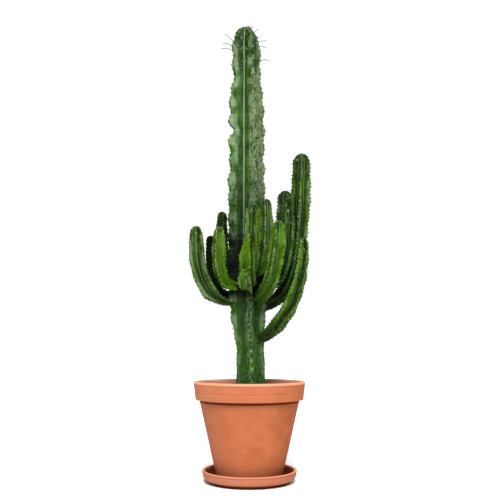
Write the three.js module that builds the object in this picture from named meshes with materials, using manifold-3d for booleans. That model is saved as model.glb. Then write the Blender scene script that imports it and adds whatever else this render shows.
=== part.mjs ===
// A tall candelabra succulent with toothed ribs, standing in a clay pot on its saucer.
// Millimetres, +Z up, the origin in the middle of the saucer's underside, the front facing -Y.
// A compass angle here is in degrees, from the front (-Y) towards the right (+X).
import * as THREE from "three";
import { mergeVertices } from "three/addons/utils/BufferGeometryUtils.js";
import Module from "manifold-3d";

// Driving dimensions of the clayware
const ROUND_STEPS = 40; // flat sides in a turn of the pot and the saucer
const GAP = 0.3; // air between pieces that rest on or in each other
const RIM_RADIUS = 120;
const RIM_FOOT_RADIUS = 115.5; // the collar's lower edge
const RIM_HEIGHT = 38.5;
const RIM_WALL = 11;
const POT_TOP = 208.5;
const POT_SHOULDER_RADIUS = 107.5; // the body just under the collar
const POT_FOOT_RADIUS = 69.5;
const POT_WALL = 8;
const POT_FLOOR = 10;
const DRAIN_RADIUS = 11;
const GROOVE_DEPTH = 1.2; // the turned line round the collar
const GROOVE_HALF = 1.1;
const GROOVE_DROP = 22.5; // from the top of the rim
const SAUCER_RADIUS = 100;
const SAUCER_FOOT_RADIUS = 84;
const SAUCER_HEIGHT = 25.4;
const SAUCER_FLOOR = 7.7;
const SAUCER_WALL = 6;
const SOIL_TOP = 178;
const SOIL_DISH = 3; // the soil is this much lower at the pot's wall than at the trunk

// Driving dimensions of the plant
const RIBS = 4;
const TRUNK_PITCH = 16; // from tooth to tooth along a rib
const ARM_PITCH = 20;
const TOOTH_HEIGHT = 2.8;
const TRUNK_WAVE = { height: 0.05, length: 44 }; // swelling of a rib's edge, as a share of the radius
const ARM_WAVE = { height: 0.04, length: 38 };
const WAVE_STEP = 2.33; // radians between the waves of two neighbouring ribs
const RIB_EDGE = 0.085; // half the thickness of a rib's edge, as a share of the radius
const ARM_VALLEY = 0.45; // radius of the groove between two ribs, as a share of the rib's radius
const DOME = 1.05; // length of the rounded tip, as a share of the radius
const SPINE = { length: 5, sunk: 2.5, radius: 0.75, splay: 0.6, every: 6 };
const THREADED = { from: 935, to: 1003 }; // the trunk's youngest teeth still hold a thread-thin leaf
const THREAD = { length: 25, sunk: 2, radius: 0.5, droop: 7, steps: 2 };

// The trunk: its axis, then [height, rib radius, groove radius as a share] from the root to the tip.
// Below the soil it is a round stub, above it the ribs deepen, and it narrows where one year's growth ends.
const TRUNK_AXIS = [
  [3, 0, 72],
  [3, 0, 200],
  [2, 0, 285],
  [-3, 0, 345],
  [-5.5, 0, 595],
  [-6, 0, 840],
  [-7.5, 0, 1015],
];
const TRUNK_FORM = [
  [72, 24, 0.85],
  [150, 31, 0.8],
  [178, 32, 0.7],
  [282, 29.5, 0.62],
  [335, 36, 0.57],
  [390, 43, 0.5],
  [600, 45.5, 0.46],
  [700, 42.5, 0.46],
  [790, 44, 0.45],
  [850, 40.5, 0.45],
  [885, 35.5, 0.48],
  [960, 35, 0.46],
  [1015, 33, 0.46],
];
// The front rib's compass angle, which turns between two heights
const TRUNK_FACING = { low: 2, high: 26, from: 300, to: 600 };
const TRUNK_DOME = 50;
// How far above the soil the teeth start and the spines start, and the extra half thickness of a rib's root
const FOOT = { bared: 40, spineless: 30, edge: 4 };

// The arms, each a J: the root inside its host, the end of the level run, the end of the bend, and the tip.
// The host is the trunk, or for a side shoot the arm that it buds from.
// width is the rib radius, and neck, low and top are shares of it at the root, a quarter of the way up
// and near the tip. Where given, the neck stays thin up to one share of the length, and low is reached at knee.
// facing is the compass angle of one rib.
const ARMS = {
  arm_left_outer: {
    path: [[-9, 0, 373], [-102, -18, 370], [-117, -28, 438], [-116, -25, 543]],
    width: 22, neck: 0.34, thin: 0.16, low: 0.98, knee: 0.36, top: 0.82, facing: 45,
  },
  arm_left_back: {
    path: [[-8, 5, 398], [-70, 38, 380], [-95, 48, 420], [-88, 45, 533]],
    width: 12, neck: 0.6, low: 0.95, top: 0.9, facing: 30,
  },
  arm_left_front: {
    path: [[-8, -2, 418], [-62, -12, 402], [-70, -36, 428], [-65, -38, 540]],
    width: 17.5, neck: 0.6, low: 0.85, top: 0.75, facing: -27,
  },
  arm_back_left: {
    path: [[-6, 7, 432], [-50, 35, 425], [-68, 42, 470], [-62, 40, 588]],
    width: 14.5, neck: 0.6, low: 0.95, top: 0.8, facing: 20,
  },
  arm_front_tall: {
    path: [[0, -10, 434], [2, -64, 426], [6, -71, 480], [9, -68, 583]],
    width: 20.5, neck: 0.55, low: 0.85, top: 0.9, facing: 26,
  },
  arm_right_inner: {
    path: [[6, -2, 442], [34, -15, 438], [45, -16, 480], [37, -14, 606]],
    width: 14.5, neck: 0.6, low: 0.95, top: 0.78, facing: 60,
  },
  arm_front_middle: {
    path: [[0, -10, 410], [-1, -84, 398], [-10, -115, 440], [-1, -108, 514]],
    width: 17.5, neck: 0.65, low: 1, top: 0.45, facing: 22,
  },
  arm_front_bud: {
    path: [[-5, -84, 412], [-8, -117, 399], [-13, -129, 412], [-11, -127, 438]],
    width: 13, neck: 0.6, low: 1, top: 0.6, facing: 20, host: "arm_front_middle",
  },
  arm_right_front: {
    path: [[9, -6, 386], [38, -46, 380], [61, -62, 440], [62, -56, 550]],
    width: 19, neck: 0.6, low: 0.9, top: 0.82, facing: -24,
  },
  arm_right_middle: {
    path: [[8, -1, 412], [60, -8, 394], [95, -12, 450], [87, -8, 585]],
    width: 15.5, neck: 0.6, low: 0.95, top: 0.9, facing: 38,
  },
  arm_back_right: {
    path: [[5, 7, 410], [60, 52, 392], [82, 72, 480], [84, 66, 643]],
    width: 21.5, neck: 0.55, low: 0.8, top: 0.82, facing: 5,
  },
  arm_right_tallest: {
    path: [[6, 5, 374], [110, 34, 362], [112, 36, 500], [120.5, 30, 722]],
    width: 23.5, neck: 0.62, low: 0.7, top: 0.85, facing: -8,
  },
  arm_right_low: {
    path: [[6, -1, 294], [62, -14, 303], [123, -18, 395], [118, -15, 520]],
    width: 17, neck: 0.6, low: 1.2, top: 0.8, facing: 35,
  },
};
// The heights between which the arms leave the trunk, where its own spines have been rubbed off
const ARM_ROOTS = { from: 290, to: 460 };
// An arm has spines only this far from the pot's axis
const SPINED_FROM = 60;
// Where an arm's rib radius reaches low, the full width, and top, as shares of its length
const ARM_LOW_AT = 0.24;
const ARM_FULL_AT = 0.72;
const ARM_TOP_AT = 0.94;

const CLAY = new THREE.MeshStandardMaterial({ color: 0xc8744c, roughness: 0.85, metalness: 0 });
const SAUCER_CLAY = new THREE.MeshStandardMaterial({ color: 0xd28863, roughness: 0.85, metalness: 0 });
const EARTH = new THREE.MeshStandardMaterial({ color: 0x3a2a1e, roughness: 1, metalness: 0 });
const TRUNK_GREEN = new THREE.MeshStandardMaterial({ color: 0x54713f, roughness: 0.6, metalness: 0 });
const ARM_GREEN = new THREE.MeshStandardMaterial({ color: 0x5f8433, roughness: 0.6, metalness: 0 });

const wasm = await Module();
wasm.setup();

// Joining and cutting solids
function toSolid(geometry) {
  const bare = new THREE.BufferGeometry().setAttribute("position", geometry.getAttribute("position"));
  bare.setIndex(geometry.index);
  const merged = mergeVertices(bare, 1e-3);
  return new wasm.Manifold(
    new wasm.Mesh({
      numProp: 3,
      vertProperties: merged.attributes.position.array,
      triVerts: new Uint32Array(merged.index.array),
    }),
  );
}

function toMesh(name, made, material) {
  const found = made.getMesh();
  const geometry = new THREE.BufferGeometry();
  geometry.setAttribute("position", new THREE.BufferAttribute(found.vertProperties, found.numProp));
  geometry.setIndex(new THREE.BufferAttribute(found.triVerts, 1));
  geometry.computeVertexNormals();
  const mesh = new THREE.Mesh(geometry, material);
  mesh.name = name;
  return mesh;
}

// The largest of the bodies that a cut leaves, without its scraps
function largest(made) {
  return made.decompose().reduce((best, body) => (body.volume() > best.volume() ? body : best));
}

// A profile of [radius, height] pairs turned round the Z axis
function turned(profile) {
  const points = profile.map(([radius, height]) => new THREE.Vector2(radius, height));
  return new THREE.LatheGeometry(points, ROUND_STEPS).rotateX(Math.PI / 2);
}

// The value at x in a list of [x, value, ...] rows, eased from row to row
function along(rows, x, column = 1) {
  const next = rows.findIndex((row) => row[0] >= x);
  if (next === 0) return rows[0][column];
  if (next < 0) return rows[rows.length - 1][column];
  const [before, after] = [rows[next - 1], rows[next]];
  return THREE.MathUtils.lerp(before[column], after[column], (x - before[0]) / (after[0] - before[0]));
}

// One rib's share of a cross-section, as [outwards, sideways] points from the rib's own middle line:
// the groove and the two sides of the blunt edge
function ribOutline(reach, groove, edge) {
  const half = Math.PI / RIBS;
  return [
    [groove * Math.cos(half), -groove * Math.sin(half)],
    [reach, -edge],
    [reach, edge],
  ];
}

// The whole cross-section, and the same one moved outwards all round by grow
function crossSection(form, grow) {
  const points = [];
  for (let rib = 0; rib < RIBS; rib++) {
    const turn = form.facing + (rib * 2 * Math.PI) / RIBS;
    const reach = form.radius * (1 + form.wave(rib)) + form.tooth;
    const outline = ribOutline(reach, form.radius * form.groove, form.edge);
    for (const [out, side] of outline) {
      const x = out * Math.cos(turn) - side * Math.sin(turn);
      const y = out * Math.sin(turn) + side * Math.cos(turn);
      points.push(new THREE.Vector2(x, y));
    }
  }
  if (!grow) return points;
  const outward = (a, b) => new THREE.Vector2(b.y - a.y, a.x - b.x).normalize();
  return points.map((point, i) => {
    const first = outward(points.at(i - 1), point);
    const second = outward(point, points[(i + 1) % points.length]);
    const step = grow / Math.max(0.4, 1 + first.dot(second));
    return point.clone().addScaledVector(first, step).addScaledVector(second, step);
  });
}

// The distances of a stem's rings: a notch and a tooth's peak by turns, and one more close to the tip
function ringDistances(length, pitch, dome) {
  const rings = 2 * Math.round(length / pitch);
  const distances = Array.from({ length: rings }, (_, i) => (i * length) / rings);
  return [...distances, length - dome * 0.09];
}

// One ring of a stem. Its axes point away to the stem's outer side, sideways across it, and ahead along it.
function stemRing({ curve, across, dome, form, grow }, length, distance, index) {
  const share = distance / length;
  const rise = Math.max(0, (distance - (length - dome)) / dome);
  const measures = form(share, distance, index % 2 === 1, Math.sqrt(1 - rise * rise));
  const ahead = curve.getTangentAt(share);
  const sideways = across.clone().addScaledVector(ahead, -across.dot(ahead)).normalize();
  const away = sideways.clone().cross(ahead);
  const middle = curve.getPointAt(share).addScaledVector(ahead, index === 0 ? -grow : 0);
  const corners = crossSection(measures, grow).map(({ x, y }) =>
    middle.clone().addScaledVector(away, x).addScaledVector(sideways, y),
  );
  return { index, measures, ahead, sideways, away, middle, corners };
}

// The tips of the teeth on a ring, one for each rib
function ringTeeth({ index, measures, ahead, sideways, away, middle }) {
  return Array.from({ length: RIBS }, (_, rib) => {
    const turn = measures.facing + (rib * 2 * Math.PI) / RIBS;
    const out = away.clone().multiplyScalar(Math.cos(turn)).addScaledVector(sideways, Math.sin(turn));
    const reach = measures.radius * (1 + measures.wave(rib)) + measures.tooth;
    return { at: middle.clone().addScaledVector(out, reach), out, ahead, rib, ring: index };
  });
}

// The faces between rings of points, and the fans that close the root and the tip
function skinFaces(rings, round) {
  const faces = [];
  const root = rings * round;
  for (let i = 0; i < round; i++) {
    const next = (i + 1) % round;
    faces.push(root, next, i);
    for (let ring = 0; ring < rings - 1; ring++) {
      const [a, b] = [ring * round + i, ring * round + next];
      faces.push(a, b, a + round, b, b + round, a + round);
    }
    faces.push((rings - 1) * round + i, (rings - 1) * round + next, root + 1);
  }
  return faces;
}

// A ribbed stem from a flat root to a domed tip, and the place of every tooth on it.
// form(share, distance, peak, shrink) gives the measures of a ring.
function ribbedStem(stem) {
  const { curve, pitch, dome, grow } = stem;
  const length = curve.getLength();
  const distances = ringDistances(length, pitch, dome);
  const rings = distances.map((distance, index) => stemRing(stem, length, distance, index));
  const root = curve.getPointAt(0).addScaledVector(curve.getTangentAt(0), -grow);
  const tip = curve.getPointAt(1).addScaledVector(curve.getTangentAt(1), grow);
  const geometry = new THREE.BufferGeometry();
  geometry.setFromPoints([...rings.flatMap(({ corners }) => corners), root, tip]);
  geometry.setIndex(skinFaces(rings.length, rings[0].corners.length));
  return { geometry, toothPlaces: rings.filter(({ index }) => index % 2 === 1).flatMap(ringTeeth) };
}

// A pair of short spines on a tooth, spread to both sides of the rib
function spinePair({ at, out, ahead }) {
  const across = out.clone().cross(ahead);
  return [-1, 1].map((side) => {
    const way = out.clone().addScaledVector(across, side * SPINE.splay).normalize();
    const whole = SPINE.length + SPINE.sunk;
    const spine = new THREE.ConeGeometry(SPINE.radius, whole, 3);
    spine.applyQuaternion(new THREE.Quaternion().setFromUnitVectors(new THREE.Vector3(0, 1, 0), way));
    const middle = at.clone().addScaledVector(way, whole / 2 - SPINE.sunk);
    return toSolid(spine.translate(middle.x, middle.y, middle.z));
  });
}

// A thread-thin leaf that stands out level from a young tooth and droops at its end
function threadLeaf({ at, out }) {
  const start = at.clone().addScaledVector(out, -THREAD.sunk);
  const bend = at.clone().addScaledVector(out, THREAD.length * 0.6);
  bend.z += THREAD.droop * 0.4;
  const end = at.clone().addScaledVector(out, THREAD.length);
  end.z -= THREAD.droop * 0.5;
  const section = new THREE.Shape();
  for (let corner = 0; corner < 3; corner++) {
    const turn = (corner * 2 * Math.PI) / 3;
    section.lineTo(THREAD.radius * Math.cos(turn), THREAD.radius * Math.sin(turn));
  }
  const path = new THREE.QuadraticBezierCurve3(start, bend, end);
  return toSolid(new THREE.ExtrudeGeometry(section, { steps: THREAD.steps, extrudePath: path }));
}

// The trunk
function trunkStem(grow) {
  const curve = new THREE.CatmullRomCurve3(TRUNK_AXIS.map((point) => new THREE.Vector3(...point)));
  const { low, high, from, to } = TRUNK_FACING;
  const form = (share, distance, peak, shrink) => {
    const height = curve.getPointAt(share).z;
    const bared = THREE.MathUtils.smoothstep(height, SOIL_TOP, SOIL_TOP + FOOT.bared);
    const facing = THREE.MathUtils.lerp(low, high, THREE.MathUtils.smoothstep(height, from, to));
    const radius = along(TRUNK_FORM, height) * shrink;
    return {
      radius,
      groove: along(TRUNK_FORM, height, 2),
      facing: THREE.MathUtils.degToRad(facing),
      edge: radius * RIB_EDGE + (1 - bared) * FOOT.edge,
      tooth: bared * shrink * TOOTH_HEIGHT * (peak ? 0.5 : -0.5),
      wave: (rib) =>
        bared * TRUNK_WAVE.height * Math.sin((2 * Math.PI * distance) / TRUNK_WAVE.length + rib * WAVE_STEP),
    };
  };
  const across = new THREE.Vector3(1, 0, 0);
  return ribbedStem({ curve, across, pitch: TRUNK_PITCH, dome: TRUNK_DOME, form, grow });
}

// An arm
function armStem({ path, width, neck, thin = 0, low, knee = ARM_LOW_AT, top, facing }, grow) {
  const curve = new THREE.CubicBezierCurve3(...path.map((point) => new THREE.Vector3(...point)));
  const reach = new THREE.Vector3(...path[3]).sub(new THREE.Vector3(...path[0])).setZ(0).normalize();
  const across = new THREE.Vector3(0, 0, 1).cross(reach);
  const compass = Math.atan2(reach.x, -reach.y);
  const widths = [[0, neck], [thin, neck], [knee, low], [ARM_FULL_AT, 1], [ARM_TOP_AT, top], [1, top]];
  const form = (share, distance, peak, shrink) => {
    const radius = width * along(widths, share) * shrink;
    return {
      radius,
      groove: ARM_VALLEY,
      facing: THREE.MathUtils.degToRad(facing) - compass,
      edge: radius * RIB_EDGE,
      tooth: shrink * TOOTH_HEIGHT * (peak ? 0.5 : -0.5),
      wave: (rib) => ARM_WAVE.height * Math.sin((2 * Math.PI * distance) / ARM_WAVE.length + rib * WAVE_STEP),
    };
  };
  return ribbedStem({ curve, across, pitch: ARM_PITCH, dome: width * DOME, form, grow });
}

// The teeth that carry modelled spines: every few along a rib, staggered from rib to rib
function spined(places) {
  return places.filter(({ rib, ring }) => ((ring - 1) / 2 + rib * 2) % SPINE.every === 2);
}

function buildTrunk() {
  const { geometry, toothPlaces } = trunkStem(0);
  const bare = toothPlaces.filter(({ at }) => at.z > SOIL_TOP + FOOT.spineless);
  const young = bare.filter(({ at }) => at.z > THREADED.from && at.z < THREADED.to);
  const clear = bare.filter(({ at }) => at.z < ARM_ROOTS.from || at.z > ARM_ROOTS.to);
  const spines = spined(clear.filter((place) => !young.includes(place)));
  return wasm.Manifold.union([
    toSolid(geometry),
    ...spines.flatMap(spinePair),
    ...young.map(threadLeaf),
  ]);
}

function buildArm(arm, host) {
  const { geometry, toothPlaces } = armStem(arm, 0);
  const clear = toothPlaces.filter(({ at }) => Math.hypot(at.x, at.y) > SPINED_FROM);
  const joined = wasm.Manifold.union([toSolid(geometry), ...spined(clear).flatMap(spinePair)]);
  return largest(joined.subtract(host));
}

// The clayware and the soil
function potProfile() {
  const foot = SAUCER_FLOOR + GAP;
  const collar = POT_TOP - RIM_HEIGHT;
  const groove = POT_TOP - GROOVE_DROP;
  const collarAt = (height) =>
    THREE.MathUtils.mapLinear(height, collar, POT_TOP, RIM_FOOT_RADIUS, RIM_RADIUS);
  return [
    [DRAIN_RADIUS, foot],
    [POT_FOOT_RADIUS - 2, foot],
    [POT_FOOT_RADIUS, foot + 2],
    [POT_SHOULDER_RADIUS, collar],
    [RIM_FOOT_RADIUS - 1.5, collar],
    [RIM_FOOT_RADIUS, collar + 1.5],
    [collarAt(groove - GROOVE_HALF), groove - GROOVE_HALF],
    [collarAt(groove) - GROOVE_DEPTH, groove],
    [collarAt(groove + GROOVE_HALF), groove + GROOVE_HALF],
    [RIM_RADIUS, POT_TOP - 3],
    [RIM_RADIUS - 2.5, POT_TOP],
    [RIM_RADIUS - RIM_WALL + 2, POT_TOP],
    [RIM_RADIUS - RIM_WALL, POT_TOP - 2],
    [POT_SHOULDER_RADIUS - POT_WALL, collar],
    [POT_FOOT_RADIUS - POT_WALL + 2, foot + POT_FLOOR],
    [DRAIN_RADIUS, foot + POT_FLOOR],
    [DRAIN_RADIUS, foot],
  ];
}

function saucerProfile() {
  const inner = SAUCER_RADIUS - SAUCER_WALL;
  return [
    [0, 0],
    [SAUCER_FOOT_RADIUS, 0],
    [SAUCER_FOOT_RADIUS + 3, 5],
    [SAUCER_RADIUS - 6, 7.5],
    [SAUCER_RADIUS - 2.5, 11],
    [SAUCER_RADIUS, SAUCER_HEIGHT - 2],
    [SAUCER_RADIUS - 1.5, SAUCER_HEIGHT],
    [inner + 1.5, SAUCER_HEIGHT],
    [inner, SAUCER_HEIGHT - 2],
    [inner - 4, SAUCER_FLOOR + 3],
    [inner - 8, SAUCER_FLOOR],
    [0, SAUCER_FLOOR],
  ];
}

function soilProfile() {
  const foot = SAUCER_FLOOR + GAP;
  const floor = foot + POT_FLOOR;
  const collar = POT_TOP - RIM_HEIGHT;
  const wallAt = (height) =>
    THREE.MathUtils.mapLinear(
      height,
      floor,
      collar,
      POT_FOOT_RADIUS - POT_WALL + 2,
      POT_SHOULDER_RADIUS - POT_WALL,
    ) - 2 * GAP;
  const edge = SOIL_TOP - SOIL_DISH;
  return [
    [0, floor + GAP],
    [wallAt(floor) - 1, floor + GAP],
    [wallAt(collar), collar],
    [wallAt(collar) + 0.5, edge],
    [70, SOIL_TOP - 1],
    [0, SOIL_TOP],
  ];
}

const plant = new THREE.Group();
const AIR = GAP * 1.3; // a little more than the gap, because a slanted face comes nearer than its ring
const trunkGrown = toSolid(trunkStem(AIR).geometry);
plant.add(toMesh("trunk", buildTrunk(), TRUNK_GREEN));
for (const [name, arm] of Object.entries(ARMS)) {
  const host = arm.host ? toSolid(armStem(ARMS[arm.host], AIR).geometry) : trunkGrown;
  plant.add(toMesh(name, buildArm(arm, host), ARM_GREEN));
}

const holder = new THREE.Group();
holder.add(toMesh("saucer", toSolid(turned(saucerProfile())), SAUCER_CLAY));
holder.add(toMesh("pot", toSolid(turned(potProfile())), CLAY));
holder.add(toMesh("soil", largest(toSolid(turned(soilProfile())).subtract(trunkGrown)), EARTH));

const pottedPlant = new THREE.Group();
pottedPlant.add(holder, plant);

export default pottedPlant;
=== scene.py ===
import math

import bpy
import numpy as np
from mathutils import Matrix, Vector, noise
from mathutils.geometry import interpolate_bezier


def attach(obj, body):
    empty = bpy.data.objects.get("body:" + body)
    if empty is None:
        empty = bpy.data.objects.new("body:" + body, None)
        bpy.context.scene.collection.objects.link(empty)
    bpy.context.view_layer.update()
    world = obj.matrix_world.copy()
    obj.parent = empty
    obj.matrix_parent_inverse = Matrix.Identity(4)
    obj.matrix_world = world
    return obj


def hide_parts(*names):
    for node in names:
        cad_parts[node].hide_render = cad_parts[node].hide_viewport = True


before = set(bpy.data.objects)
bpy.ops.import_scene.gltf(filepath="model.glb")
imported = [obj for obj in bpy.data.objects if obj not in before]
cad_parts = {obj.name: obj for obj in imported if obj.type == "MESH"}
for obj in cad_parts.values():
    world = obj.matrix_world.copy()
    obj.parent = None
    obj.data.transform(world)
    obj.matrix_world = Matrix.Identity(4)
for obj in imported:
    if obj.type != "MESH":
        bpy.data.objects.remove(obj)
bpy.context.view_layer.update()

# The camera stands a metre and a half in front of the pot, a hand's width above its rim, and is tilted up.
CAMERA_PLACE = (0.0012, -1.5079, 0.283)
CAMERA_RISE = math.radians(7.953)
LENS = 49.586

camera = bpy.data.objects.new("camera", bpy.data.cameras.new("camera"))
camera.data.sensor_width = 36
camera.data.lens = LENS
camera.location = CAMERA_PLACE
camera.rotation_euler = (math.pi / 2 + CAMERA_RISE, 0, 0)
bpy.context.collection.objects.link(camera)
bpy.context.scene.camera = camera


# The saucer is a shallow dish of red clay, turned on a wheel, fired and left unglazed.
# Its clay is pinker and chalkier than the pot's, and its inside is painted dark brown, as a water stain and
# as the shade that the pot casts there.
class Nodes:
    """The nodes of one tree. Each add makes a node and gives one of its outputs."""

    def __init__(self, tree):
        self.tree = tree

    def add(self, kind, inputs=(), output=0, stops=(), **settings):
        node = self.tree.nodes.new(kind)
        for name, value in settings.items():
            setattr(node, name, value)
        for place, (at, colour) in enumerate(stops):
            elements = node.color_ramp.elements
            stop = elements[place] if place < 2 else elements.new(at)
            stop.position, stop.color = at, colour
        for name, value in dict(inputs).items():
            for each in value if isinstance(value, list) else [value]:
                if isinstance(each, Wire):
                    self.tree.links.new(each.socket, node.inputs[name])
                else:
                    node.inputs[name].default_value = each
        return Wire(self, node.outputs[output]) if node.outputs else None


class Wire:
    """One output of a node. Arithmetic on it adds the nodes that work it out."""

    def __init__(self, nodes, socket):
        self.nodes, self.socket = nodes, socket

    def math(self, operation, *values):
        return self.nodes.add("ShaderNodeMath", enumerate(values), operation=operation)

    def vector(self, operation, *values, output=0):
        return self.nodes.add("ShaderNodeVectorMath", enumerate(values), output, operation=operation)

    def join(self, operation, first, second):
        arrows = [
            isinstance(each, tuple) or isinstance(each, Wire) and each.socket.type == "VECTOR"
            for each in (first, second)
        ]
        if not any(arrows):
            return self.math(operation, first, second)
        if all(arrows):
            return self.vector(operation, first, second)
        arrow, share = (first, second) if arrows[0] else (second, first)
        return self.nodes.add("ShaderNodeVectorMath", {0: arrow, "Scale": share}, operation="SCALE")

    def __add__(self, other):
        return self.join("ADD", self, other)

    def __radd__(self, other):
        return self.join("ADD", other, self)

    def __sub__(self, other):
        return self.join("SUBTRACT", self, other)

    def __rsub__(self, other):
        return self.join("SUBTRACT", other, self)

    def __mul__(self, other):
        return self.join("MULTIPLY", self, other)

    def __rmul__(self, other):
        return self.join("MULTIPLY", other, self)

    def __truediv__(self, other):
        return self.math("DIVIDE", self, other)

    def __pow__(self, other):
        return self.math("POWER", self, other)

    def axes(self):
        node = self.nodes.add("ShaderNodeSeparateXYZ", {0: self}).socket.node
        return [Wire(self.nodes, socket) for socket in node.outputs]

    def ramp(self, low, high, kind="SMOOTHSTEP"):
        """0 below low, 1 above high; with low above high it falls instead."""
        ends = {1: low, 2: high}
        return self.nodes.add("ShaderNodeMapRange", {0: self, **ends}, interpolation_type=kind)

    def sine(self):
        return self.math("SINE", self)

    def cosine(self):
        return self.math("COSINE", self)

    def grain(self, size, detail=3.0, roughness=0.55, stretch=(1, 1, 1)):
        """Noise of about this size in metres, 0 to 1, on coordinates stretched by these shares."""
        place = self.vector("DIVIDE", self, tuple(size * share for share in stretch))
        inputs = {"Vector": place, "Scale": 1.0, "Detail": detail, "Roughness": roughness}
        return self.nodes.add("ShaderNodeTexNoise", inputs)


def paint(*seen):
    """A colour as it looks, red, green and blue from 0 to 255, in the numbers that a shader takes."""
    linear = [((part / 255 + 0.055) / 1.055) ** 2.4 if part > 10 else part / 255 / 12.92 for part in seen]
    return (*linear, 1.0)


def layer(under, over, share):
    """One colour laid over another, by a share that varies over the surface."""
    return share.nodes.add("ShaderNodeMix", {0: share, 6: under, 7: over}, 2, data_type="RGBA")


def new_finish(name):
    material = bpy.data.materials.new(name)
    material.use_nodes = True
    material.node_tree.nodes.clear()
    return material, Nodes(material.node_tree)


def close_finish(nodes, colour, roughness, height, depth, constants=()):
    """The shader at the end of a finish: its colour, roughness and a relief of this depth in metres."""
    bump = nodes.add("ShaderNodeBump", {"Height": height, "Distance": depth, "Strength": 1.0})
    inputs = {"Base Color": colour, "Roughness": roughness, "Normal": bump, **dict(constants)}
    shader = nodes.add("ShaderNodeBsdfPrincipled", inputs)
    nodes.add("ShaderNodeOutputMaterial", {"Surface": shader})


def clay_finish(
    name, pale, deep, chalk, right_side_shade, lit_edge, dirt_and_shade, worn_lit_line, inside, shadow_band, lit_above_from
):
    """Fired clay with fine throwing lines, blotches and pores, chalky at the left and a deeper orange at
    the right, painted shade on that side.

    The lip is rubbed pale and painted with a highlight, with a painted shadow line under it, and the
    collar, or the saucer above its foot, is painted lighter as light. The inside is stained, in the saucer
    also as painted shade, and is paler near the pot's lip with lime and painted light. The shadow band is
    painted dark as a shadow under the collar and round the foot.
    """
    lip, lime_and_light, painted_shadow = paint(216, 144, 112), paint(178, 124, 106), paint(88, 28, 6)
    material, nodes = new_finish(name)
    place = nodes.add("ShaderNodeTexCoord", output=3)
    x, y, height = place.axes()
    radius = (x * x + y * y) ** 0.5
    rightwards = x * 7.0
    lines = place.grain(0.05, 4, 0.6, (1, 1, 0.016))
    blotches = place.grain(0.045, 3)
    pores = place.grain(0.0016, 2, 0.7)
    bloom = place.grain(0.02, 5, 0.65)
    ragged = height + bloom * 0.001

    colour = layer(pale, deep, (blotches * 0.8 + lines * 0.3).ramp(0.2, 1.05))
    colour = layer(colour, chalk, (bloom - rightwards).ramp(0.7, 1.5) * 0.45)
    # painted shade: the right side of the clay is laid over with a deeper orange
    colour = layer(colour, right_side_shade, (blotches + rightwards).ramp(0.5, 1.3) * 0.5)
    colour = layer(colour, lit_edge, bloom.ramp(0.5, 0.75) * 0.15)
    # painted light: the pot's collar, and the saucer above its foot, are laid over with a paler, lit colour
    lit_above = height.ramp(lit_above_from, lit_above_from + 0.001)
    colour = layer(colour, lit_edge, lit_above * (0.1 + lines.ramp(0.4, 0.6) * 0.3))
    # wear and a painted highlight: the rounded lip is pale above this line
    low, high = worn_lit_line
    colour = layer(colour, lip, ragged.ramp(low, high) * 0.9)
    # painted shadow: a thin darker line just under the pale lip band
    colour = layer(colour, deep, ragged.ramp(low - 0.002, low) * height.ramp(high, low) * 0.7)
    colour = layer(colour, dirt_and_shade, pores.ramp(0.66, 0.74) * 0.35)

    within = (radius - height * inside["slope"] - inside["radius"]).ramp(0.001, -0.001)
    level = height + bloom * 0.01
    damp = (level - inside["floor"]).ramp(-0.002, 0.002) * level.ramp(inside["top"], inside["top"] - 0.006)
    # a dark brown stain on the inside; in the saucer it is also painted shade
    colour = layer(colour, dirt_and_shade, within * damp * inside["strength"])
    # lime and painted light: the inner wall is paler towards the lip
    lime_and_light_band = (height + bloom * 0.004).ramp(inside["lime_and_light_band"], inside["lime_and_light_band"] + 0.006)
    colour = layer(colour, lime_and_light, within * lime_and_light_band * 0.8)
    # painted shadow: a dark red-brown band under the pot's collar and round the saucer's foot
    low, high = shadow_band
    corner = ragged.ramp(low, low + 0.002) * height.ramp(high + 0.0003, high - 0.0003)
    colour = layer(colour, painted_shadow, corner * 0.92)

    roughness = 0.74 + bloom * 0.2
    relief = lines * 0.4 + pores.ramp(0.7, 0.6) * 0.25 + bloom * 0.2
    close_finish(nodes, colour, roughness, relief, 0.0005, {"Specular IOR Level": 0.1})
    return material


def rounded(profile, corner, stretch=0.005):
    """The profile with each corner turned into a small arc and each long side divided."""
    points = [Vector(point) for point in profile]
    shaped = [points[0]]
    for before, here, after in zip(points, points[1:], points[2:]):
        back, on = before - here, after - here
        cut = min(corner, back.length * 0.45, on.length * 0.45)
        start, end = here + back.normalized() * cut, here + on.normalized() * cut
        shaped += [start.lerp(here, t).lerp(here.lerp(end, t), t) for t in (0, 0.25, 0.5, 0.75, 1)]
    shaped.append(points[-1])
    outline = [shaped[0]]
    for a, b in zip(shaped, shaped[1:]):
        parts = max(1, round((b - a).length / stretch))
        outline += [a.lerp(b, (part + 1) / parts) for part in range(parts)]
    return outline


def new_piece(name, mesh, slot, *stands_for):
    piece = bpy.data.objects.new(name, mesh)
    bpy.context.collection.objects.link(piece)
    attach(piece, "root")
    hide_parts(*stands_for)


def thrown(name, outline, finish, turns=192):
    """A mesh turned round the Z axis from an outline of radius and height.

    The outline runs along the underside, up the outside and back over the top. Where it ends on its own
    start, as the pot's does, the last ring is the first one.
    """
    points, rings, faces = [], [], []
    looped = outline[-1] == outline[0]
    for radius, height in outline[:-1] if looped else outline:
        ring = turns if radius > 0 else 1
        rings.append([len(points) + step % ring for step in range(turns + 1)])
        angles = [2 * math.pi * step / turns for step in range(ring)]
        points += [(radius * math.cos(angle), radius * math.sin(angle), height) for angle in angles]
    if looped:
        rings.append(rings[0])
    for low, high in zip(rings, rings[1:]):
        for step in range(turns):
            corners = dict.fromkeys((low[step], low[step + 1], high[step + 1], high[step]))
            faces.append(list(corners))
    mesh = bpy.data.meshes.new(name)
    mesh.from_pydata(points, [], faces)
    mesh.shade_smooth()
    mesh.materials.append(finish)
    return mesh


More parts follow.
